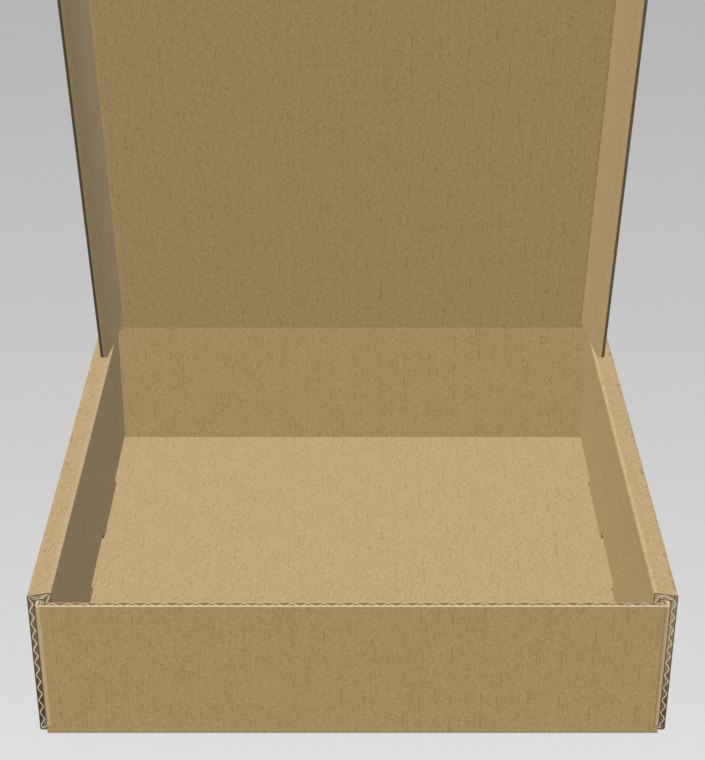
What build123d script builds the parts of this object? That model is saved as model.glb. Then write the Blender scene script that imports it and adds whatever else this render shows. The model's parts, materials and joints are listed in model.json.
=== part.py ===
from build123d import *
import math
import os

# A roll-end mailer box, die cut from one sheet of single-wall corrugated board.
# It stands open: the lid leans over the tray with its two side flaps folded in.
# Millimetres and degrees. +X right, +Y back, +Z up, origin under the middle of the base.

# The tray
outer_width = 260.0      # over the two rolled side walls
outer_depth = 243.0      # front face to back face
side_height = 67.6       # ground to the flat top of a rolled side wall
board = 2.9              # thickness of the board
fold_radius = 1.4        # outside radius of a creased fold
side_setback = 2.5       # side walls' cut ends, behind the front face
inner_setback = 4.4      # inner panels' cut ends, behind the front face
corner_flap_length = 58.0
tab_length = 50.0        # lock tabs at the foot of the inner panels
tab_from_middle = 22.0   # half the distance between the two tabs of one panel
shoulder_rise = 2.7      # inner panel's lower edge above the floor, between its tabs
tab_rise = 0.4           # tabs' lower ends above the ground

# The fluting, which runs from front to back of the flat sheet and shows at the edges cut across it
flute_pitch = 6.4
liner = 0.4              # each of the two facing sheets
crest = 1.2              # narrow side of a flute's cell, over a crest of the medium
medium_run = 0.42        # the medium between two cells, measured along the panel
flute_stop = 8.0         # tuck crease to the closed ends of that flap's flutes

# Room left between layers of board
outer_play = 0.5         # corner flap to outer panel
inner_play = 0.2         # corner flap to inner panel
strip_play = 0.95        # corner flap's top edge to the strip above it
floor_play = 0.5         # corner flap's lower edge to the floor
slot_play = 0.4          # tab to the sides of its slot
slot_end_play = 1.0      # tab to the ends of its slot
lid_play = 0.3           # lid and its flaps to the tray that they close
crease_gap = 0.3         # turning board to the rounded edge that it turns on

# The lid
lid_open = 76.8          # rest angle from closed, 90 is upright
flap_fold = 90.0         # rest angle of the side flaps from flat
tuck_fold = 20.0         # rest angle of the tuck flap from flat
fold_limit = 120.0       # furthest that a side flap or the tuck flap folds in
flap_width = 62.0        # crease to free edge
flap_taper = 26.0        # slope of the side flaps' ends at the lid's hinge
flap_front_taper = 6.0   # slope of their ends at the tuck crease
flap_tip_radius = 5.0
tuck_depth = 42.0        # crease to free edge
tuck_side_gap = 8.0      # tuck flap's ends, inside the side flaps
tuck_corner_radius = 24.0

# Places that follow from those sizes
half_width = outer_width / 2
half_depth = outer_depth / 2
outer_panel_x = half_width - board
corner_flap_x = outer_panel_x - outer_play
inner_panel_x = corner_flap_x - board - inner_play
inner_wall_x = inner_panel_x - board
strip_under = side_height - board
end_wall_height = strip_under - strip_play
flap_foot = board + floor_play
hinge_y = half_depth - board / 2
hinge_z = side_height + lid_play + board / 2
bead = board / 2
flap_axis_x = inner_wall_x - lid_play - bead
lid_length = hinge_y + half_depth - board - lid_play - bead
hinge_start = bead + crease_gap
fold_turn = math.radians(fold_limit)
bevel_start = (hinge_start - bead * math.cos(fold_turn)) / math.sin(fold_turn)
tuck_half_width = flap_axis_x - bead - tuck_side_gap
flute_step = flute_pitch / 2
cell_base = flute_pitch - crest - 2 * medium_run
cell_height = board - 2 * liner


def rectangle(x0, y0, x1, y1):
    """A rectangle between two opposite corners."""
    return Pos((x0 + x1) / 2, (y0 + y1) / 2) * Rectangle(x1 - x0, y1 - y0)


def along_x(section, x0, x1):
    """Extrude a section drawn in Y and Z."""
    plane = Plane(origin=(x0, 0, 0), x_dir=(0, 1, 0), z_dir=(1, 0, 0))
    return extrude(plane * section, amount=x1 - x0)


def along_y(section, y0, y1):
    """Extrude a section drawn in X and Z."""
    plane = Plane(origin=(0, y1, 0), x_dir=(1, 0, 0), z_dir=(0, -1, 0))
    return extrude(plane * section, amount=y1 - y0)


def along_z(section, z0, z1):
    """Extrude a section drawn in X and Y."""
    return extrude(Plane.XY.offset(z0) * section, amount=z1 - z0)


def creased(section, corners):
    """Round the outside corners of a folded section."""
    near = [min(section.vertices(), key=lambda v: (v.center() - Vector(*c, 0)).length) for c in corners]
    return fillet(near, fold_radius)


def flute_cell(place, up):
    """One open cell of the fluting: X along the panel, Y through the board, wide side down if up is 1."""
    wide = cell_base / 2
    narrow = crest / 2
    rise = up * cell_height / 2
    outline = Polyline(
        (place - wide, -rise),
        (place + wide, -rise),
        (place + narrow, rise),
        (place - narrow, rise),
        close=True,
    )
    return make_face(outline)


def flute_row(start, stop):
    """The cells that fit whole between two places along a panel."""
    count = math.floor((stop - start - cell_base) / flute_step)
    first = (start + stop - count * flute_step) / 2
    return [flute_cell(first + i * flute_step, 1 - 2 * (i % 2)) for i in range(count + 1)]


def edge_row(start, edge):
    """The cells from a place along a panel to its free edge, which cuts the last flute lengthwise."""
    count = math.floor((edge - start - cell_base / 2) / flute_step)
    return [flute_cell(edge - i * flute_step, 1 - 2 * (i % 2)) for i in range(count + 1)]


def upright(cells, middle):
    """Turn a row of cells along Y, about the middle of an upright panel."""
    return [Pos(middle, 0) * Rot(0, 0, 90) * cell for cell in cells]


def rolled_section():
    """Base, outer panels, top strips and inner panels, seen from the front."""
    section = rectangle(-half_width, 0, half_width, board)
    for side in (-1, 1):
        outer = sorted((side * outer_panel_x, side * half_width))
        strip = sorted((side * inner_wall_x, side * half_width))
        inner = sorted((side * inner_wall_x, side * inner_panel_x))
        section += rectangle(outer[0], 0, outer[1], side_height)
        section += rectangle(strip[0], strip_under, strip[1], side_height)
        section += rectangle(inner[0], board + shoulder_rise, inner[1], side_height)
    corners = []
    cells = []
    strip_middle = strip_under + bead
    for side in (-1, 1):
        corners += [
            (side * half_width, 0),
            (side * half_width, side_height),
            (side * inner_wall_x, side_height),
        ]
        strip_run = sorted((side * (inner_wall_x + fold_radius), side * outer_panel_x))
        cells += upright(flute_row(fold_radius, side_height - fold_radius), side * (half_width - bead))
        cells += upright(flute_row(board + shoulder_rise, strip_under), side * (inner_wall_x + bead))
        cells += [Pos(0, strip_middle) * cell for cell in flute_row(*strip_run)]
    return creased(section, corners) - cells


def end_cut(side, end):
    """What is trimmed from a strip and its inner panel, so that they clear the end wall."""
    y_edge = half_depth - side_setback
    y_inner = half_depth - inner_setback
    outline = Polyline(
        (side * outer_panel_x, end * y_edge),
        (side * inner_panel_x, end * y_inner),
        (side * (inner_wall_x - board), end * y_inner),
        (side * (inner_wall_x - board), end * half_depth),
        (side * outer_panel_x, end * half_depth),
        close=True,
    )
    return along_z(make_face(outline), flap_foot, side_height + board)


def tab_and_slot(side, end):
    """One lock tab, and the slot in the base that it stands in."""
    y0, y1 = sorted((end * tab_from_middle, end * (tab_from_middle + tab_length)))
    x0, x1 = sorted((side * inner_wall_x, side * inner_panel_x))
    tab = along_z(rectangle(x0, y0, x1, y1), tab_rise, board + shoulder_rise)
    hole = rectangle(x0 - slot_play, y0 - slot_end_play, x1 + slot_play, y1 + slot_end_play)
    slot = along_z(hole, -board, board + floor_play / 2)
    return tab, slot


def end_wall(end):
    """Front (-1) or back (1) wall with its fold to the base and its two corner flaps."""
    y_face = end * half_depth
    y_inside = end * (half_depth - board)
    y_tip = end * (half_depth - corner_flap_length)
    y_lap = end * (half_depth - inner_setback - board)
    y0, y1 = sorted((y_face, y_inside))
    fold = rectangle(y0, 0, y1, flap_foot) + rectangle(min(y_face, y_lap), 0, max(y_face, y_lap), board)
    fold = creased(fold, [(y_face, 0)])
    section = rectangle(-corner_flap_x, y0, corner_flap_x, y1)
    for side in (-1, 1):
        x0, x1 = sorted((side * corner_flap_x, side * (corner_flap_x - board)))
        section += rectangle(x0, min(y_face, y_tip), x1, max(y_face, y_tip))
    section = creased(section, [(-corner_flap_x, y_face), (corner_flap_x, y_face)])
    flap_row = flute_row(*sorted((y_inside, y_tip)))
    for side in (-1, 1):
        section -= upright(flap_row, side * (corner_flap_x - bead))
    if end < 0:
        wall_row = flute_row(board - corner_flap_x, corner_flap_x - board)
        section -= [Pos(0, y_face + bead) * cell for cell in wall_row]
    wall = along_z(section, flap_foot, end_wall_height)
    return along_x(fold, -corner_flap_x, corner_flap_x) + wall


def hinge_edge():
    """The back wall's top between the strips, ending in the rounded edge that the lid turns on."""
    reach = flap_axis_x + bead
    rise = rectangle(hinge_y - bead, flap_foot, hinge_y + bead, hinge_z)
    rise += Pos(hinge_y, hinge_z) * Circle(bead)
    return along_x(rise, -reach, reach)


def make_tray():
    """Everything below the lid's crease: one folded sheet."""
    y_end = half_depth - side_setback
    tray = along_y(rolled_section(), -y_end, y_end)
    for side in (-1, 1):
        for end in (-1, 1):
            tray -= end_cut(side, end)
            tab, slot = tab_and_slot(side, end)
            tray = tray - slot + tab
    for end in (-1, 1):
        tray += end_wall(end)
    return tray + hinge_edge()


def hinge_profile(reach):
    """Section of a flap across its crease: a bevel on the inside lets it fold past square."""
    outline = Polyline(
        (hinge_start, -bead),
        (reach, -bead),
        (reach, bead),
        (bevel_start, bead),
        (hinge_start, 0),
        close=True,
    )
    return make_face(outline)


def make_lid():
    """Lid panel, flat: X across, Y from the hinge to the tuck crease, Z towards the inside."""
    panel = Pos(0, (hinge_start + lid_length) / 2) * Box(2 * flap_axis_x, lid_length - hinge_start, board)
    for side in (-1, 1):
        edge = along_y(Pos(side * flap_axis_x, 0) * Circle(bead), hinge_start, lid_length)
        panel += edge
        panel += Pos(side * flap_axis_x, lid_length) * Sphere(bead)
    front = along_x(Pos(lid_length, 0) * Circle(bead), -flap_axis_x, flap_axis_x)
    return panel + front


def make_side_flap():
    """Right side flap, flat: X from its crease to its free edge, Y along the lid."""
    hinge_rise = flap_width * math.tan(math.radians(flap_taper))
    front_rise = flap_width * math.tan(math.radians(flap_front_taper))
    y_low = bead + lid_play
    y_high = lid_length - bead - lid_play
    section = hinge_profile(flap_width) - edge_row(bevel_start, flap_width)
    board_strip = along_y(section, y_low, y_high)
    outline = Polyline(
        (0, y_low),
        (flap_width, y_low + hinge_rise),
        (flap_width, y_high - front_rise),
        (0, y_high),
        close=True,
    )
    blank = make_face(outline)
    tips = blank.vertices().sort_by(Axis.X)[-2:]
    return board_strip & along_z(fillet(tips, flap_tip_radius), -board, board)


def make_tuck_flap():
    """Tuck flap, flat: Y from its crease to its free edge."""
    board_strip = along_x(hinge_profile(tuck_depth), -tuck_half_width, tuck_half_width)
    blank = rectangle(-tuck_half_width, 0, tuck_half_width, tuck_depth)
    tips = blank.vertices().sort_by(Axis.Y)[-2:]
    flap = board_strip & along_z(fillet(tips, tuck_corner_radius), -board, board)
    cells = edge_row(0, tuck_half_width)
    cells += [mirror(cell, about=Plane.YZ) for cell in cells]
    return flap - [along_y(cell, flute_stop, tuck_depth) for cell in cells]


def turned(angle):
    """Cosine and sine of an angle in degrees."""
    return math.cos(math.radians(angle)), math.sin(math.radians(angle))


lid_c, lid_s = turned(lid_open)
flap_c, flap_s = turned(flap_fold)
tuck_c, tuck_s = turned(tuck_fold)
lid_plane = Plane(origin=(0, hinge_y, hinge_z), x_dir=(1, 0, 0), z_dir=(0, -lid_s, -lid_c))
flap_plane = Plane(origin=(flap_axis_x, 0, 0), x_dir=(flap_c, 0, flap_s), z_dir=(-flap_s, 0, flap_c))
tuck_plane = Plane(origin=(0, lid_length, 0), x_dir=(1, 0, 0), z_dir=(0, -tuck_s, tuck_c))

right_flap = flap_plane.location * make_side_flap()
left_flap = mirror(right_flap, about=Plane.YZ)

parts = {
    "tray": make_tray(),
    "lid": lid_plane.location * make_lid(),
    "right_lid_flap": lid_plane.location * right_flap,
    "left_lid_flap": lid_plane.location * left_flap,
    "tuck_flap": lid_plane.location * tuck_plane.location * make_tuck_flap(),
}

os.makedirs("parts", exist_ok=True)
for name, shape in parts.items():
    export_step(shape, f"parts/{name}.step")
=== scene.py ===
"""A kraft mailer box, folded from flat corrugated blanks, on a plain studio floor."""

import json
import math

import bmesh
import bpy
from bpy.props import FloatProperty, FloatVectorProperty, PointerProperty
from mathutils import Matrix, Vector


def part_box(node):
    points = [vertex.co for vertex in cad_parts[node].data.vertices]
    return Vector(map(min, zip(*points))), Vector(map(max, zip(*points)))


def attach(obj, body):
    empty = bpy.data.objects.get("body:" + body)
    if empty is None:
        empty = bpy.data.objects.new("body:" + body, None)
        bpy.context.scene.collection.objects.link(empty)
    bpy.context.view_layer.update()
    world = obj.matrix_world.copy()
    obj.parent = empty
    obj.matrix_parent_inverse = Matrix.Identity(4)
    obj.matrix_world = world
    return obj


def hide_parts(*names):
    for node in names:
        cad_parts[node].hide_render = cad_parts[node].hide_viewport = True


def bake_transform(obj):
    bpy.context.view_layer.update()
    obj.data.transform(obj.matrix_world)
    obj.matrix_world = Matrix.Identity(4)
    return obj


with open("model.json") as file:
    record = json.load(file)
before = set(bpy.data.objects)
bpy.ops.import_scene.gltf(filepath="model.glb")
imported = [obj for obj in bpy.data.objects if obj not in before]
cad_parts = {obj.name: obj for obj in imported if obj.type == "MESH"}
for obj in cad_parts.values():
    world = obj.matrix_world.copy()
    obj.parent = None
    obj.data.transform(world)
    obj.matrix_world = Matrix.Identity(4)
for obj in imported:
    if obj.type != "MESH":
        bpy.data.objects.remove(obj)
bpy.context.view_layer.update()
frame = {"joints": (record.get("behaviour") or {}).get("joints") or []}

bl_info = {
    "name": "Mailer Box",
    "version": (1, 0, 0),
    "blender": (4, 5, 0),
    "location": "View3D > Sidebar > Mailer Box",
    "description": "Folds a kraft mailer box from corrugated blanks and sets it on a studio floor",
    "category": "Object",
}

JOINTS = {joint["name"]: joint for joint in frame["joints"]}
TRAY_TOP_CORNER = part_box("tray")[1]
TUCK_TOP_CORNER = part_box("tuck_flap")[1]

# Order of the finishes in a piece's material slots
LINER, CUT, FLUTING, SHADED_RIM, CREST = range(5)

QUARTER_TURN = math.pi / 2
CUT_TOLERANCE = 1e-6  # metres
CREASE_STEPS = 3  # divisions on each side of a crease's middle
RIDGE_SHARPNESS = 6  # higher gives a narrower ridge along a fold
FLUTE_STEPS = 12  # divisions of one flute
FLUTE_SHAPE = 0.92  # 0 is a sine wave, 1 a zigzag
TIP_STEPS = 10  # divisions of a side flap's rounded corner
TUCK_STEPS = 16  # divisions of the tuck flap's rounded corner
SHARP_EDGE = math.radians(40)

# The liners' noises: features per metre across the flutes and along them, and the detail
KRAFT_NOISES = {
    "grain": ((1150, 1050, 1), 2.5),
    "mottle": ((460, 400, 1), 1.0),
    "clouds": ((95, 60, 1), 2.0),
    "dashes": ((160, 150, 1), 1.0),
    "dots": ((950, 800, 1), 0.0),
    "fibre": ((2200, 85, 1), 0.0),
    "pale": ((1050, 900, 1), 0.0),
    "upright": ((1000, 330, 1), 0.0),
    "level": ((330, 1000, 1), 0.0),
    "busy": ((90, 75, 1), 1.0),
}
TORN_SCALE = (1400, 1400, 1)
DULL_SCALE = (1500, 900, 1)
SHADED_HEIGHTS = (0.004, 0.055)  # painted shade: the fluting is dark below the first and clear above the second

FLOOR_REACH = 40.0
FLOOR_DROP = 0.0002  # keeps the floor from touching the base
FLOOR_FRONT = 0.135  # the floor's tone falls from this far in front of the box's middle
PAINTED_SHADOW_FADE = (0.008, 0.001)  # inside the tray's edges, where the painted shadow on the floor under it fades out

# Directions that the lamps shine from; their colours are among the looks
LAMPS = {
    "key": (-0.52, -0.324, 0.79),
    "front": (0, -0.98, -0.2),
    "top": (0, 0, 1),
    "side": (1, 0, 0),
    "back": (0, 1, 0),
    "overhead": (0, 0, 1),
}
LAMP_ANGLE = math.radians(20)
SHADOW_ANGLE = math.radians(70)

CAMERA_LENS = 85.308  # millimetres
CAMERA_PLACE = (0, -0.71057, 0.48374)
CAMERA_TILT = math.radians(61.707)


def length(name, description, default):
    """A size in metres that shows with its unit."""
    return FloatProperty(
        name=name, description=description, default=default, unit="LENGTH", precision=5
    )


def shade(name, description, default):
    """A colour, as linear red, green and blue."""
    return FloatVectorProperty(
        name=name, description=description, default=default, subtype="COLOR", min=0, max=1
    )


class MailerBoardSizes(bpy.types.PropertyGroup):
    """The board, its fluting and its creases."""

    board: length("Board", "Thickness of the corrugated board", 0.0029)
    liner: length("Liner", "Thickness of each facing sheet", 0.00042)
    medium: length("Medium", "Thickness of the fluted sheet", 0.0004)
    pitch: length("Flute pitch", "Distance from one flute to the next", 0.0064)
    crease: length("Crease", "Half the width that a crease bends over", 0.0007)
    ridge: length("Ridge", "How far a crease's outer side stands out", 0.00043)
    turning_crease: length("Turning crease", "The same for the creases that open and close", 0.0016)
    flute_depth: length("Flute depth", "How far the fluted sheet reaches in from a cut edge", 0.02)
    lip: length("Lip", "Spread of the outer liner's raw edge on the front wall's top", 0.0006)


class MailerTraySizes(bpy.types.PropertyGroup):
    """The tray's panels, tabs and slots."""

    side_setback: length("Side setback", "Side walls' cut ends, behind the front face", 0.0025)
    inner_setback: length("Inner setback", "Inner panels' cut ends, behind the front face", 0.0044)
    corner_flap: length("Corner flap", "Length of a corner flap, with the wall's thickness", 0.058)
    tab: length("Tab", "Length of a lock tab", 0.05)
    tab_start: length("Tab start", "Middle of the side to the nearer tab", 0.022)
    shoulder: length("Shoulder", "Ground to the inner panel's edge between its tabs", 0.0056)
    tab_rise: length("Tab rise", "Ground to the tabs' lower edges", 0.0004)
    outer_play: length("Outer play", "Corner flap to outer panel", 0.0005)
    inner_play: length("Inner play", "Corner flap to inner panel", 0.0002)
    strip_play: length("Strip play", "End walls' top edges to the strips above them", 0.0007)
    floor_play: length("Floor play", "Corner flaps to the floor", 0.0005)
    slot_play: length("Slot play", "Tab to the sides of its slot", 0.0004)
    slot_end_play: length("Slot end play", "Tab to the ends of its slot", 0.001)
    slit: length("Slit", "Width of the cut under a corner flap", 0.0004)


class MailerLidSizes(bpy.types.PropertyGroup):
    """The lid and its three flaps."""

    play: length("Lid play", "Lid and flaps to the tray", 0.0003)
    drop: length("Crease drop", "Hinge line down to the middle of the lid's crease", 0.0012)
    seam: length("Seam", "A flap's crease to the line where it joins the lid's sheet", 0.003)
    flap_width: length("Side flap width", "Crease to free edge", 0.062)
    flap_taper: FloatProperty(
        name="Side flap taper",
        description="Slope of the side flaps' ends at the lid's hinge",
        default=math.radians(24.5),
        subtype="ANGLE",
    )
    flap_front_taper: FloatProperty(
        name="Side flap front taper",
        description="Slope of the side flaps' ends at the tuck crease",
        default=math.radians(6),
        subtype="ANGLE",
    )
    flap_tip: length("Side flap tip", "Radius of the side flaps' corners", 0.005)
    crush_width: length("Crush width", "Width that the die crushes along a side flap's free edge", 0.004)
    crush: FloatProperty(
        name="Crush",
        description="Share of the board's thickness that is lost at that edge",
        default=0.48,
        subtype="FACTOR",
        min=0,
        max=1,
    )
    flap_turn: length("Side flap turn", "Half the width over which a side flap's crease turns", 0.0002)
    tuck_depth: length("Tuck depth", "Tuck crease to free edge", 0.042)
    tuck_corner: length("Tuck corner", "Radius of the tuck flap's corners", 0.024)
    flap_fold: FloatProperty(
        name="Side flap fold",
        description="Rest angle of the side flaps from flat",
        default=math.radians(90),
        subtype="ANGLE",
    )
    tuck_fold: FloatProperty(
        name="Tuck fold",
        description="Rest angle of the tuck flap from flat",
        default=math.radians(20),
        subtype="ANGLE",
    )


class MailerLooks(bpy.types.PropertyGroup):
    """Colours of the paper and the floor, and the light."""

    kraft_dark: shade("Kraft, dark", "Darker tone of the liners", (0.478, 0.338, 0.168))
    kraft_light: shade("Kraft, light", "Lighter tone of the liners", (0.578, 0.425, 0.223))
    fleck: shade("Fleck", "Dark fibres in the liners", (0.25, 0.16, 0.07))
    shive: shade("Shive", "Pale fibres in the liners", (0.74, 0.60, 0.37))
    # Scuffed pale with a painted highlight, on the front wall's corners and the top strips' inner edges
    pale_wear_and_highlight: shade("Worn fold", "Liner rubbed pale on the front wall's corners", (0.70, 0.56, 0.35))
    # Raw paper, paler partly as a painted highlight along the front wall's top
    cut_edge_and_highlight: shade("Cut edge", "Raw paper on the front wall's top", (0.78, 0.62, 0.39))
    crest: shade("Crest", "Raw edge of the fluted sheet", (0.93, 0.85, 0.69))
    # Painted shade inside the board, darker still near the ground
    fluting: shade("Fluting", "The fluted sheet, between the liners", (0.36, 0.262, 0.16))
    fluting_painted_shade_low: shade("Fluting, low", "The same near the ground", (0.12, 0.092, 0.064))
    # Painted shade: the dark tone at the liners' edges and pinched flap edges, also used beside the front
    # wall's corners
    rim: shade("Rim", "The liners' edges, dulled by handling", (0.14, 0.108, 0.068))
    # The floor's fall from near to far is a painted fall-off of the light
    floor_near: shade("Floor, near", "Floor in front of the box", (0.66, 0.66, 0.66))
    floor_far: shade("Floor, far", "Floor behind the box", (0.392, 0.392, 0.392))
    # Painted shadow under the box
    floor_painted_shadow: shade("Floor, under", "Floor under the box", (0.07, 0.055, 0.04))
    floor_fade: length("Floor fade", "Distance over which the floor's tone falls", 0.494)
    ambient: shade("Ambient light", "Light from all round", (0.37, 0.38, 0.36))
    key: shade("Key light", "Light from above, left and front", (0.624, 0.5685, 0.4815))
    front: shade("Front light", "Light from the front, low down", (0.1, 0.093, 0.061))
    top: shade("Top light", "Light from above", (0.137, 0.17, 0.26))
    side: shade("Side light", "Light from the right", (0.0, 0.003, 0.05))
    back: shade("Back light", "Light from behind", (0.25, 0.25, 0.22))
    overhead: shade("Overhead light", "Light from above that gives the floor its shadow", (0.1, 0.1, 0.1))


class Places:
    """Where the panels and creases are, from the frame and the sizes."""

    def __init__(self, scene):
        board, tray, lid = scene.mailer_board, scene.mailer_tray, scene.mailer_lid
        hinge = Vector(JOINTS["lid_hinge"]["pos_m"])
        reach = Vector(JOINTS["tuck_crease"]["pos_m"]) - hinge
        self.half = board.board / 2
        self.side_x = TRAY_TOP_CORNER.x - self.half
        self.end_y = TRAY_TOP_CORNER.y - self.half
        self.side_end = TRAY_TOP_CORNER.y - tray.side_setback
        self.inner_end = TRAY_TOP_CORNER.y - tray.inner_setback
        top = hinge.z - self.half - lid.play
        self.notch_x = TRAY_TOP_CORNER.x - board.board - tray.outer_play
        self.flap_x = self.notch_x - self.half
        inner_x = self.notch_x - 2 * board.board - tray.inner_play
        self.slot = (inner_x - tray.slot_play, inner_x + board.board + tray.slot_play)
        self.top_x = self.side_x + top - board.board
        self.inner_fold_x = self.top_x + self.side_x - inner_x - self.half
        self.shoulder_x = self.inner_fold_x + top - self.half - tray.shoulder
        self.tab_x = self.shoulder_x + tray.shoulder - tray.tab_rise
        self.wall_top = top - board.board - tray.strip_play
        self.wall_y = self.end_y + self.wall_top - self.half
        self.foot_y = self.end_y + self.half + tray.floor_play
        self.flap_end_x = self.flap_x + tray.corner_flap - self.half
        self.lid_lean = math.atan2(-reach.y, reach.z)
        self.lid_crease = hinge - Vector((0, 0, lid.drop))
        self.lid_start = lid.drop * math.cos(self.lid_lean)
        self.lid_length = self.lid_start + reach.length
        self.crease_x = JOINTS["right_flap_crease"]["pos_m"][0]
        self.tuck_x = TUCK_TOP_CORNER.x
        along = reach.normalized()
        inward = Vector((1, 0, 0)).cross(along)
        self.lid_matrix = Matrix.Translation(self.lid_crease) @ Matrix(
            ((1, along.x, inward.x), (0, along.y, inward.y), (0, along.z, inward.z))
        ).to_4x4()


def eased(share):
    """A share from 0 to 1 that starts and stops gently."""
    share = min(max(share, 0.0), 1.0)
    return share * share * (3 - 2 * share)


def crease_rows(place, half_width):
    """The lines across a crease on which the sheet is divided so that it can bend."""
    return [place + half_width * step / CREASE_STEPS for step in range(-CREASE_STEPS, CREASE_STEPS + 1)]


def both(values):
    """Values with their mirror images."""
    return [side * value for side in (-1, 1) for value in values]


class Blank:
    """Flat corrugated board: X across the flutes, Y along them, Z through the board."""

    def __init__(self, board):
        self.board = board
        self.mesh = bmesh.new()
        self.flat = {}
        self.wear = None

    def add(self, sheet, thickness, finish):
        """Gives a sheet its thickness, down from where it lies, and joins it to the blank."""
        sheet.normal_update()
        first = set(sheet.verts)
        bmesh.ops.solidify(sheet, geom=sheet.faces[:], thickness=thickness)
        bmesh.ops.recalc_face_normals(sheet, faces=sheet.faces)
        for face in sheet.faces:
            rim = len({vert in first for vert in face.verts}) == 2
            face.material_index = finish(face, rim)
            face.smooth = True
        scrap = bpy.data.meshes.new("scrap")
        sheet.to_mesh(scrap)
        sheet.free()
        self.mesh.from_mesh(scrap)
        bpy.data.meshes.remove(scrap)

    def liners(self, columns, rows, inside, trim=None, rims=None):
        """The two facing sheets, die cut from a rectangle that the outermost lines bound."""

        def finish(face, rim):
            middle = face.calc_center_median()
            # Edges get the rims' painted shade unless rims gives them another finish; faces inside the
            # board get the fluting's painted shade
            if rim:
                return rims(middle) if rims else SHADED_RIM
            return LINER if abs(middle.z) > (self.board.board - self.board.liner) / 2 else FLUTING

        for level in (-1, 1):
            sheet = bmesh.new()
            bmesh.ops.create_grid(sheet, x_segments=1, y_segments=1, size=0.5)
            size = (max(columns) - min(columns), max(rows) - min(rows), 1)
            middle = ((max(columns) + min(columns)) / 2, (max(rows) + min(rows)) / 2, 0)
            bmesh.ops.scale(sheet, vec=size, verts=sheet.verts)
            bmesh.ops.translate(sheet, vec=middle, verts=sheet.verts)
            for axis, lines in enumerate((columns, rows)):
                normal = Vector((axis == 0, axis == 1, 0))
                for line in sorted(lines)[1:-1]:
                    geometry = sheet.verts[:] + sheet.edges[:] + sheet.faces[:]
                    bmesh.ops.bisect_plane(
                        sheet, geom=geometry, dist=CUT_TOLERANCE, plane_co=normal * line, plane_no=normal
                    )
            waste = [f for f in sheet.faces if not inside(*f.calc_center_median().xy)]
            bmesh.ops.delete(sheet, geom=waste, context="FACES")
            if trim:
                for vert in sheet.verts:
                    vert.co.xy = trim(*vert.co.xy)
            height = (level * self.board.board + (1 - level) * self.board.liner) / 2
            bmesh.ops.translate(sheet, vec=(0, 0, height), verts=sheet.verts)
            self.add(sheet, self.board.liner, finish)

    def fluting(self, x0, x1, y0, y1, trim=None, edge=CREST):
        """A piece of the fluted sheet between the liners, its waves in step over the whole blank."""

        def finish(face, rim):
            if rim:
                # The sheet's ends across X get the rims' painted shade
                return edge if abs(face.normal.y) > abs(face.normal.x) else SHADED_RIM
            return FLUTING

        step = self.board.pitch / FLUTE_STEPS
        sheet = bmesh.new()
        bmesh.ops.create_grid(
            sheet, x_segments=max(2, round((x1 - x0) / step)), y_segments=1, size=0.5
        )
        bmesh.ops.scale(sheet, vec=(x1 - x0, y1 - y0, 1), verts=sheet.verts)
        bmesh.ops.translate(sheet, vec=((x0 + x1) / 2, (y0 + y1) / 2, 0), verts=sheet.verts)
        swing = (self.board.board - 2 * self.board.liner - self.board.medium) / 2
        for vert in sheet.verts:
            wave = math.asin(FLUTE_SHAPE * math.sin(2 * math.pi * vert.co.x / self.board.pitch))
            vert.co.z = swing * wave / math.asin(FLUTE_SHAPE) + self.board.medium / 2
            if trim:
                vert.co.xy = trim(*vert.co.xy)
        self.add(sheet, self.board.medium, finish)

    def press(self, height):
        """Presses the flat blank out of shape: the new height of each place through the board."""
        for vert in self.mesh.verts:
            vert.co.z = height(vert.co)

    def paint_pinched_shade(self, where):
        """Gives the fluting the rims' painted shade where the board is pinched nearly shut."""
        for face in self.mesh.faces:
            if face.material_index == FLUTING and where(face.calc_center_median()):
                face.material_index = SHADED_RIM

    def lay_out(self):
        """Keeps the flat places, as the UV map and for the folds to come."""
        # Marks along the folds: scuffed pale with painted highlight above 0, painted shade below 0
        self.wear = self.mesh.verts.layers.float.new("wear")
        layer = self.mesh.loops.layers.uv.new("sheet")
        for face in self.mesh.faces:
            for loop in face.loops:
                loop[layer].uv = loop.vert.co.xy
        self.flat = {vert: vert.co.copy() for vert in self.mesh.verts}

    def fold(self, axis, side, place, half_width, angle, where=None, wear=None):
        """Turns what lies beyond a crease towards +Z. Axis 0 is a crease across X, 1 across Y.

        Where picks the places that the crease reaches. The last argument gives the outer liner's marks
        there, pale above 0 as scuffing and painted highlight, dark below 0 as painted shade, from the
        share of the turn.
        """
        rows = {}
        ridge = self.board.ridge * (angle / QUARTER_TURN) ** 2
        for vert, flat in self.flat.items():
            if where and not where(flat):
                continue
            share = eased((side * flat[axis] - place + half_width) / (2 * half_width))
            if share > 0:
                rows.setdefault(round(share, 5), []).append(vert)
                if flat.z < 0:
                    vert.co.z -= ridge * (4 * share * (1 - share)) ** RIDGE_SHARPNESS
                    if wear:
                        vert[self.wear] = wear(share)
        centre = Vector((0, 0, 0))
        centre[axis] = side * place
        turn = -side * angle if axis == 0 else side * angle
        for share, verts in rows.items():
            matrix = Matrix.Rotation(share * turn, 3, "YX"[axis])
            bmesh.ops.rotate(self.mesh, cent=centre, matrix=matrix, verts=verts)

    def piece(self, name, matrix, *nodes):
        """The folded board as an object that stands for CAD nodes."""
        if not self.mesh.faces:
            raise RuntimeError(f"{name}: these sizes leave no board")
        bmesh.ops.transform(self.mesh, matrix=matrix, verts=self.mesh.verts)
        mesh = bpy.data.meshes.new(name)
        self.mesh.to_mesh(mesh)
        self.mesh.free()
        mesh.set_sharp_from_angle(angle=SHARP_EDGE)
        for name_of_finish, make in FINISHES.items():
            mesh.materials.append(finish_of(name_of_finish, make))
        piece = bpy.data.objects.new(name, mesh)
        piece.visible_diffuse = False
        bpy.context.scene.collection.objects.link(piece)
        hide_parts(*nodes)
        return piece


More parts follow.
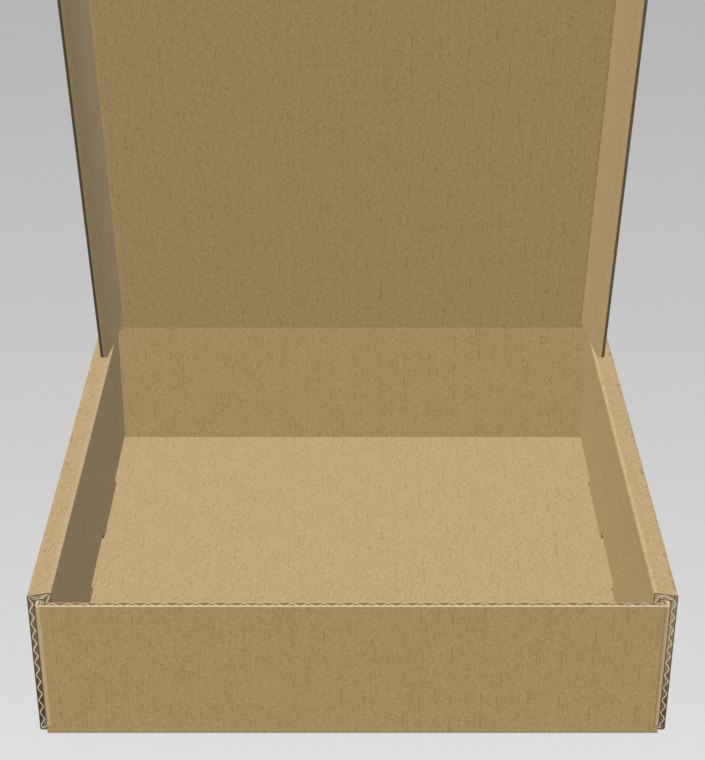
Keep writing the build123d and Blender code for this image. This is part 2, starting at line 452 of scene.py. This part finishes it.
class Field:
    """A value in a finish's nodes, for sums in plain Python."""

    def __init__(self, finish, socket):
        self.finish = finish
        self.socket = socket

    def _math(self, operation, first, second):
        return self.finish.node("ShaderNodeMath", {"operation": operation}, {0: first, 1: second})

    def __add__(self, other):
        return self._math("ADD", self, other)

    def __radd__(self, other):
        return self._math("ADD", other, self)

    def __sub__(self, other):
        return self._math("SUBTRACT", self, other)

    def __rsub__(self, other):
        return self._math("SUBTRACT", other, self)

    def __mul__(self, other):
        return self._math("MULTIPLY", self, other)

    def __rmul__(self, other):
        return self._math("MULTIPLY", other, self)

    def sine(self):
        return self._math("SINE", self, 0.0)

    def absolute(self):
        return self._math("ABSOLUTE", self, 0.0)

    def exponent(self):
        return self._math("EXPONENT", self, 0.0)

    def ramp(self, low, high):
        """0 below low, 1 above high, smooth between."""
        settings = {"interpolation_type": "SMOOTHSTEP"}
        sockets = {"Value": self, "From Min": low, "From Max": high}
        return self.finish.node("ShaderNodeMapRange", settings, sockets)


class Finish:
    """A material and its nodes."""

    def __init__(self, name):
        self.material = bpy.data.materials.new(name)
        self.material.use_nodes = True
        self.tree = self.material.node_tree
        self.shader = self.tree.nodes["Principled BSDF"]

    def node(self, kind, settings=None, sockets=None, output=0):
        """Adds a node: its settings first, then its sockets' values or links."""
        made = self.tree.nodes.new(kind)
        for name, value in (settings or {}).items():
            setattr(made, name, value)
        for name, value in (sockets or {}).items():
            self.feed(made.inputs[name], value)
        return Field(self, made.outputs[output])

    def feed(self, socket, value):
        """Links a value to a socket, or sets it there."""
        if isinstance(value, Field):
            self.tree.links.new(value.socket, socket)
        else:
            socket.default_value = value

    def noise(self, place, scale, detail=2.0):
        """Noise with its own scale along and across the sheet, in features per metre."""
        stretched = self.node("ShaderNodeMapping", None, {"Vector": place, "Scale": scale})
        sockets = {"Vector": stretched, "Scale": 1.0, "Detail": detail}
        return self.node("ShaderNodeTexNoise", {"noise_dimensions": "2D"}, sockets)

    def mix(self, factor, first, second):
        """A colour between two colours."""
        sockets = {"Factor": factor, 6: first, 7: second}
        return self.node("ShaderNodeMix", {"data_type": "RGBA"}, sockets, 2)


def finish_of(name, make):
    """The material of that name, made the first time it is asked for."""
    found = bpy.data.materials.get(name)
    return found or make(name)


def rgba(colour):
    """An opaque colour."""
    return (*colour, 1.0)


def make_kraft(name):
    """Unbleached liner: fine grain, short strokes, dark fibres and faint dashes on the flutes' lines."""
    looks = bpy.context.scene.mailer_looks
    pitch = bpy.context.scene.mailer_board.pitch
    finish = Finish(name)
    sheet = finish.node("ShaderNodeUVMap", {"uv_map": "sheet"})
    across = finish.node("ShaderNodeSeparateXYZ", None, {"Vector": sheet})
    noise = {part: finish.noise(sheet, *settings) for part, settings in KRAFT_NOISES.items()}
    grain, upright, level = noise["grain"], noise["upright"], noise["level"]
    lines = (across * (2 * math.pi / pitch)).sine()
    fibre = noise["fibre"].ramp(0.81, 0.88)
    busy = 0.4 + 0.6 * noise["busy"].ramp(0.4, 0.6)
    strokes = busy * (upright.ramp(0.62, 0.8) + level.ramp(0.62, 0.8) - 0.5 * upright.ramp(0.38, 0.2))
    tone = 0.5 + 1.45 * (grain - 0.5) - 0.5 * strokes
    tone = tone + 0.55 * (noise["mottle"] - 0.5) + 0.35 * (noise["clouds"] - 0.5)
    colour = finish.mix(tone, rgba(looks.kraft_dark), rgba(looks.kraft_light))
    for strength, mark, ink in (
        (0.3, lines.ramp(0.93, 0.99) * noise["dashes"].ramp(0.57, 0.66), looks.fleck),
        (0.35, noise["dots"].ramp(0.74, 0.86), looks.fleck),
        (0.4, fibre, looks.fleck),
        (0.4, noise["pale"].ramp(0.74, 0.88), looks.shive),
    ):
        colour = finish.mix(strength * mark, colour, rgba(ink))
    # Along the folds: scuffed pale with painted highlight above 0, painted shade in the rims' tone below
    # 0
    wear = finish.node("ShaderNodeAttribute", {"attribute_name": "wear"}, None, "Fac")
    colour = finish.mix(wear * (0.6 + grain), colour, rgba(looks.pale_wear_and_highlight))
    colour = finish.mix(0 - wear, colour, rgba(looks.rim))
    height = 0.5 * grain + 0.25 * fibre + 0.5 * lines
    bump = finish.node("ShaderNodeBump", None, {"Strength": 0.25, "Distance": 0.0001, "Height": height})
    finish.feed(finish.shader.inputs["Base Color"], colour)
    finish.feed(finish.shader.inputs["Roughness"], 0.78 + 0.2 * grain)
    finish.feed(finish.shader.inputs["Normal"], bump)
    finish.shader.inputs["Specular IOR Level"].default_value = 0.1
    return finish.material


def make_cut_edge(name):
    """Raw paper at a die-cut edge: paler than the liner, partly as a painted highlight."""
    return make_raw_edge(name, bpy.context.scene.mailer_looks.cut_edge_and_highlight)


def make_crest(name):
    """Raw edge of the fluted sheet: the palest paper on the box."""
    return make_raw_edge(name, bpy.context.scene.mailer_looks.crest)


def make_raw_edge(name, colour):
    """Paper with short torn fibres."""
    finish = Finish(name)
    sheet = finish.node("ShaderNodeUVMap", {"uv_map": "sheet"})
    torn = finish.noise(sheet, TORN_SCALE, 3.0)
    dark = tuple(0.8 * part for part in colour)
    colour = finish.mix(torn.ramp(0.3, 0.7), rgba(dark), rgba(colour))
    finish.feed(finish.shader.inputs["Base Color"], colour)
    finish.feed(finish.shader.inputs["Roughness"], 0.85 + 0.1 * torn)
    finish.shader.inputs["Specular IOR Level"].default_value = 0.15
    return finish.material


def make_fluting(name):
    """The fluted sheet and the liners' inner faces: the same fibre, duller, dark as painted shade inside
    the board, and darker still near the ground as painted shade.
    """
    looks = bpy.context.scene.mailer_looks
    finish = Finish(name)
    sheet = finish.node("ShaderNodeUVMap", {"uv_map": "sheet"})
    place = finish.node("ShaderNodeTexCoord", None, None, "Object")
    height = finish.node("ShaderNodeSeparateXYZ", None, {"Vector": place}, "Z")
    grain = finish.noise(sheet, DULL_SCALE, 3.0)
    high = height.ramp(*SHADED_HEIGHTS) + 0.5 * (grain - 0.5)
    colour = finish.mix(high, rgba(looks.fluting_painted_shade_low), rgba(looks.fluting))
    finish.feed(finish.shader.inputs["Base Color"], colour)
    finish.feed(finish.shader.inputs["Roughness"], 0.82 + 0.15 * grain)
    finish.shader.inputs["Specular IOR Level"].default_value = 0.15
    return finish.material


def make_painted_shade_rim(name):
    """The liners' edges: the same paper, closed, and dark as painted shade."""
    looks = bpy.context.scene.mailer_looks
    finish = Finish(name)
    sheet = finish.node("ShaderNodeUVMap", {"uv_map": "sheet"})
    grain = finish.noise(sheet, DULL_SCALE, 2.0)
    light = tuple(1.5 * part for part in looks.rim)
    colour = finish.mix(grain.ramp(0.5, 0.8), rgba(looks.rim), rgba(light))
    finish.feed(finish.shader.inputs["Base Color"], colour)
    finish.shader.inputs["Roughness"].default_value = 0.9
    finish.shader.inputs["Specular IOR Level"].default_value = 0.1
    return finish.material


def make_floor(name):
    """Pale paper, darker with distance as a painted fall-off of the light, and with a painted shadow
    where the box stands on it.
    """
    looks = bpy.context.scene.mailer_looks
    finish = Finish(name)
    place = finish.node("ShaderNodeTexCoord", None, None, "Object")
    across = finish.node("ShaderNodeSeparateXYZ", None, {"Vector": place}, "X").absolute()
    depth = finish.node("ShaderNodeSeparateXYZ", None, {"Vector": place}, "Y")
    far = 1 - ((depth + FLOOR_FRONT) * (-1 / looks.floor_fade)).exponent()
    beside = across.ramp(*(TRAY_TOP_CORNER.x - inset for inset in PAINTED_SHADOW_FADE))
    before = depth.absolute().ramp(*(TRAY_TOP_CORNER.y - inset for inset in PAINTED_SHADOW_FADE))
    colour = finish.mix(far, rgba(looks.floor_near), rgba(looks.floor_far))
    # Painted shadow under the box
    colour = finish.mix((1 - beside) * (1 - before), colour, rgba(looks.floor_painted_shadow))
    finish.feed(finish.shader.inputs["Base Color"], colour)
    finish.shader.inputs["Roughness"].default_value = 0.9
    finish.shader.inputs["Specular IOR Level"].default_value = 0.0
    return finish.material


# In the order of the slots
FINISHES = {
    "kraft_liner": make_kraft,
    "cut_paper": make_cut_edge,
    "fluting_paper": make_fluting,
    "rim_paper": make_painted_shade_rim,
    "crest_paper": make_crest,
}


def left_corner_wear_and_painted_light(share):
    """Marks round the front wall's left corner: scuffed pale with a painted highlight where the turn
    starts, painted shade behind it.
    """
    return 9 * share * (1 - share) ** 3 - 0.8 * share


def right_corner_wear_and_painted_light(share):
    """Marks round the front wall's right corner: a line of painted shade, then scuffed pale with a
    painted highlight.
    """
    return 1.2 * eased(2 * share) - 12 * share * (1 - share) ** 8


def strip_edge_wear_and_highlight(share):
    """Marks along a top strip's inner edge: a little pale in the middle, as scuffing and painted
    highlight.
    """
    return 1.2 * share * (1 - share)


class MailerTray(bpy.types.Operator):
    """Die cut and fold the tray: base, end walls, rolled side walls and lock tabs"""

    bl_idname = "mailer.tray"
    bl_label = "Tray"

    def execute(self, context):
        board, tray = context.scene.mailer_board, context.scene.mailer_tray
        at = Places(context.scene)
        tab_end = tray.tab_start + tray.tab
        slot_ends = (tray.tab_start - tray.slot_end_play, tab_end + tray.slot_end_play)
        slit_y = at.foot_y + tray.slit
        columns = [*at.slot, at.notch_x, at.flap_end_x, at.shoulder_x, at.tab_x]
        for place in (at.flap_x, at.side_x, at.top_x, at.inner_fold_x):
            columns += crease_rows(place, board.crease)
        lip_y = at.wall_y - board.liner
        rows = [tray.tab_start, tab_end, *slot_ends, at.side_end, at.foot_y, slit_y, lip_y, at.wall_y]
        rows += crease_rows(at.end_y, board.crease)

        def inside(x, y):
            x, y = abs(x), abs(y)
            if at.slot[0] < x < at.slot[1] and slot_ends[0] < y < slot_ends[1]:
                return False
            if y < at.side_end:
                return x < at.shoulder_x or tray.tab_start < y < tab_end
            if y < at.foot_y:
                return x < at.notch_x
            if y < slit_y:
                return x < at.flap_x - board.crease
            return x < at.flap_end_x

        def trim(x, y):
            share = (abs(x) - at.top_x) / (at.inner_fold_x - at.top_x)
            end = at.side_end - min(max(share, 0), 1) * (at.side_end - at.inner_end)
            if share > 0 and abs(y) > end:
                y = math.copysign(end, y)
            return x, y

        # All edges but the front wall's top get the rims' painted shade; there the outer liner's edge is
        # raw paper with a painted highlight
        def rims(middle):
            if middle.y > -lip_y:
                return SHADED_RIM
            return CUT if middle.z < 0 else LINER

        def lip(place):
            nearby = board.liner / 4
            at_edge = place.y < -at.wall_y + nearby
            at_fluting = abs(place.z + at.half - board.liner) < nearby
            return place.z + board.lip * (at_edge and at_fluting)

        blank = Blank(board)
        blank.liners(both(columns), both(rows), inside, trim, rims)
        blank.press(lip)
        for end in (-1, 1):
            near, far = sorted((end * at.wall_y, end * (at.wall_y - board.flute_depth)))
            blank.fluting(-at.flap_end_x, at.flap_end_x, near, far, edge=CUT)
            near, far = sorted((end * at.side_end, end * (at.side_end - board.flute_depth)))
            for side in (-1, 1):
                first, last = sorted((side * at.slot[1], side * at.shoulder_x))
                blank.fluting(first, last, near, far, trim)
        blank.lay_out()

        def on_side(flat):
            return abs(flat.y) < at.end_y

        def on_corner_flap(flat):
            return abs(flat.y) > at.foot_y + tray.slit / 2

        def on_end(flat):
            return abs(flat.x) < at.notch_x + tray.slit or abs(flat.y) > at.end_y

        # The corner folds get scuffing, a painted highlight and painted shade
        for side, rubbed_and_painted_light in ((-1, left_corner_wear_and_painted_light), (1, right_corner_wear_and_painted_light)):
            for place, wear in ((at.inner_fold_x, strip_edge_wear_and_highlight), (at.top_x, None), (at.side_x, None)):
                blank.fold(0, side, place, board.crease, QUARTER_TURN, on_side, wear)
            blank.fold(0, side, at.flap_x, board.crease, QUARTER_TURN, on_corner_flap, rubbed_and_painted_light)
        for end in (-1, 1):
            blank.fold(1, end, at.end_y, board.crease, QUARTER_TURN, on_end)
        piece = blank.piece("tray_board", Matrix.Translation((0, 0, at.half)), "tray")
        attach(piece, "tray")
        return {"FINISHED"}


class MailerLid(bpy.types.Operator):
    """Die cut the lid's panel and bend it at the crease on the back wall's top"""

    bl_idname = "mailer.lid"
    bl_label = "Lid"

    def execute(self, context):
        board, lid = context.scene.mailer_board, context.scene.mailer_lid
        at = Places(context.scene)
        edge = at.crease_x + at.half
        seam_x = at.crease_x - lid.seam
        low = at.lid_start + at.half + lid.play
        high = at.lid_length - at.half - lid.play
        tuck_seam = at.lid_length - lid.seam
        foot = at.wall_top - at.lid_crease.z
        columns = both([seam_x, at.tuck_x, edge])
        rows = [foot, low, high, tuck_seam, at.lid_length + at.half]
        rows += crease_rows(0, board.turning_crease)

        def inside(x, y):
            if abs(x) > seam_x:
                return y < low or y > high
            return y < tuck_seam or abs(x) > at.tuck_x

        blank = Blank(board)
        blank.liners(columns, rows, inside)
        blank.fluting(-seam_x, seam_x, low, tuck_seam)
        blank.lay_out()
        blank.fold(1, -1, 0, board.turning_crease, at.lid_lean)
        piece = blank.piece("lid_board", at.lid_matrix, "lid")
        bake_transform(piece)
        return {"FINISHED"}


class MailerSideFlaps(bpy.types.Operator):
    """Die cut the lid's two side flaps and fold them in"""

    bl_idname = "mailer.side_flaps"
    bl_label = "Side flaps"

    def execute(self, context):
        board, lid = context.scene.mailer_board, context.scene.mailer_lid
        at = Places(context.scene)
        low = at.lid_start + at.half + lid.play
        high = at.lid_length - at.half - lid.play
        free_edge = at.crease_x + lid.flap_width
        tip_x = free_edge - lid.flap_tip

        def inset(x, taper):
            """How far an end slopes in at x, with the flap's rounded corner."""
            slope = math.tan(taper)
            into = abs(x) - tip_x
            if into <= lid.flap_tip * math.sin(taper):
                return slope * max(0, abs(x) - at.crease_x)
            centre = slope * (tip_x - at.crease_x) + lid.flap_tip / math.cos(taper)
            return centre - math.sqrt(max(0, lid.flap_tip**2 - into**2))

        def trim(x, y):
            share = (y - low) / (high - low)
            return x, y + inset(x, lid.flap_taper) * (1 - share) - inset(x, lid.flap_front_taper) * share

        def crushed(place):
            share = eased((abs(place.x) - free_edge + lid.crush_width) / lid.crush_width)
            return (place.z + at.half) * (1 - lid.crush * share) - at.half

        for side, name in ((-1, "left"), (1, "right")):
            columns = [at.crease_x - lid.seam, free_edge]
            columns += crease_rows(at.crease_x, board.turning_crease)
            columns += [
                tip_x + lid.flap_tip * math.cos(step * QUARTER_TURN / TIP_STEPS)
                for step in range(1, TIP_STEPS)
            ]
            columns = [side * column for column in columns]
            blank = Blank(board)
            # Rims below the board's middle get the rims' painted shade
            blank.liners(
                columns, [low, high], lambda x, y: True, trim,
                lambda middle: LINER if middle.z > 0 else SHADED_RIM,
            )
            first, last = sorted((side * (at.crease_x - lid.seam), side * free_edge))
            blank.fluting(first, last, low, high, trim)
            blank.press(crushed)
            # Painted shade where the free edge is pinched
            blank.paint_pinched_shade(lambda middle: abs(middle.x) > free_edge - lid.crush_width)
            blank.lay_out()
            blank.fold(0, side, at.crease_x, board.turning_crease, lid.flap_fold)
            piece = blank.piece(f"{name}_flap_board", at.lid_matrix, f"{name}_lid_flap")
            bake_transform(piece)
        return {"FINISHED"}


class MailerTuckFlap(bpy.types.Operator):
    """Die cut the tuck flap on the lid's front edge and fold it a little"""

    bl_idname = "mailer.tuck_flap"
    bl_label = "Tuck flap"

    def execute(self, context):
        board, lid = context.scene.mailer_board, context.scene.mailer_lid
        at = Places(context.scene)
        near, far = at.lid_length - lid.seam, at.lid_length + lid.tuck_depth
        corner_x = at.tuck_x - lid.tuck_corner
        columns = [at.tuck_x]
        columns += [
            corner_x + lid.tuck_corner * math.sin(step * QUARTER_TURN / TUCK_STEPS)
            for step in range(TUCK_STEPS)
        ]
        rows = [near, far, *crease_rows(at.lid_length, board.turning_crease)]
        rows.append(at.lid_length + lid.tuck_depth - lid.tuck_corner)

        def trim(x, y):
            past = max(0, abs(x) - corner_x)
            inset = lid.tuck_corner - math.sqrt(max(0, lid.tuck_corner**2 - past**2))
            return x, min(y, far - inset)

        blank = Blank(board)
        blank.liners(both(columns), rows, lambda x, y: True, trim)
        blank.fluting(-at.tuck_x, at.tuck_x, at.lid_length + board.turning_crease, far, trim)
        blank.lay_out()
        blank.fold(1, 1, at.lid_length, board.turning_crease, lid.tuck_fold)
        piece = blank.piece("tuck_flap_board", at.lid_matrix, "tuck_flap")
        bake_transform(piece)
        return {"FINISHED"}


def add_lamp(scene, name):
    """A wide lamp without a shadow, in the colour of the look of that name."""
    lamp = bpy.data.lights.new(name, "SUN")
    lamp.color = getattr(scene.mailer_looks, name)
    lamp.energy = math.pi
    lamp.angle = LAMP_ANGLE
    lamp.use_shadow = False
    light = bpy.data.objects.new(name, lamp)
    light.rotation_euler = Vector(LAMPS[name]).to_track_quat("Z", "Y").to_euler()
    scene.collection.objects.link(light)
    return light


class MailerStage(bpy.types.Operator):
    """Lay the pale floor, and set the studio light and the camera"""

    bl_idname = "mailer.stage"
    bl_label = "Stage"

    def execute(self, context):
        scene, looks = context.scene, context.scene.mailer_looks
        sweep = bmesh.new()
        bmesh.ops.create_grid(sweep, x_segments=1, y_segments=1, size=FLOOR_REACH)
        bmesh.ops.translate(sweep, vec=(0, 0, -FLOOR_DROP), verts=sweep.verts)
        mesh = bpy.data.meshes.new("floor")
        sweep.to_mesh(mesh)
        sweep.free()
        mesh.materials.append(finish_of("floor_paper", make_floor))
        floor = bpy.data.objects.new("floor", mesh)
        floor.visible_diffuse = False
        scene.collection.objects.link(floor)

        world = bpy.data.worlds.new("studio")
        world.use_nodes = True
        background = world.node_tree.nodes["Background"]
        background.inputs["Color"].default_value = rgba(looks.ambient)
        world.cycles.sampling_method = "NONE"
        scene.world = world

        lights = {name: add_lamp(scene, name) for name in LAMPS}
        # Only the overhead lamp casts a shadow, and it lights only the floor
        shaded = bpy.data.collections.new("shaded_floor")
        shaded.objects.link(floor)
        overhead = lights["overhead"]
        overhead.data.angle = SHADOW_ANGLE
        overhead.data.use_shadow = True
        overhead.light_linking.receiver_collection = shaded

        lens = bpy.data.cameras.new("camera")
        lens.lens = CAMERA_LENS
        lens.clip_start = 0.01
        camera = bpy.data.objects.new("camera", lens)
        camera.location = CAMERA_PLACE
        camera.rotation_euler = (CAMERA_TILT, 0, 0)
        scene.collection.objects.link(camera)
        scene.camera = camera
        scene.view_settings.view_transform = "Standard"
        return {"FINISHED"}


STEPS = (MailerStage, MailerTray, MailerLid, MailerSideFlaps, MailerTuckFlap)


class MailerPanel(bpy.types.Panel):
    """Steps and sizes of the mailer box"""

    bl_idname = "VIEW3D_PT_mailer_box"
    bl_label = "Mailer Box"
    bl_space_type = "VIEW_3D"
    bl_region_type = "UI"
    bl_category = "Mailer Box"

    def draw(self, context):
        for step in STEPS:
            self.layout.operator(step.bl_idname)
        for name in GROUPS:
            group = getattr(context.scene, name)
            box = self.layout.box()
            for prop in group.__annotations__:
                box.prop(group, prop)


GROUPS = {
    "mailer_board": MailerBoardSizes,
    "mailer_tray": MailerTraySizes,
    "mailer_lid": MailerLidSizes,
    "mailer_looks": MailerLooks,
}


def register():
    for made in (*GROUPS.values(), *STEPS, MailerPanel):
        bpy.utils.register_class(made)
    for name, group in GROUPS.items():
        setattr(bpy.types.Scene, name, PointerProperty(type=group))


def unregister():
    for name in GROUPS:
        delattr(bpy.types.Scene, name)
    for made in (MailerPanel, *reversed(STEPS), *GROUPS.values()):
        bpy.utils.unregister_class(made)


def main():
    register()
    bpy.ops.mailer.stage()
    bpy.ops.mailer.tray()
    bpy.ops.mailer.lid()
    bpy.ops.mailer.side_flaps()
    bpy.ops.mailer.tuck_flap()


if __name__ == "__main__":
    main()
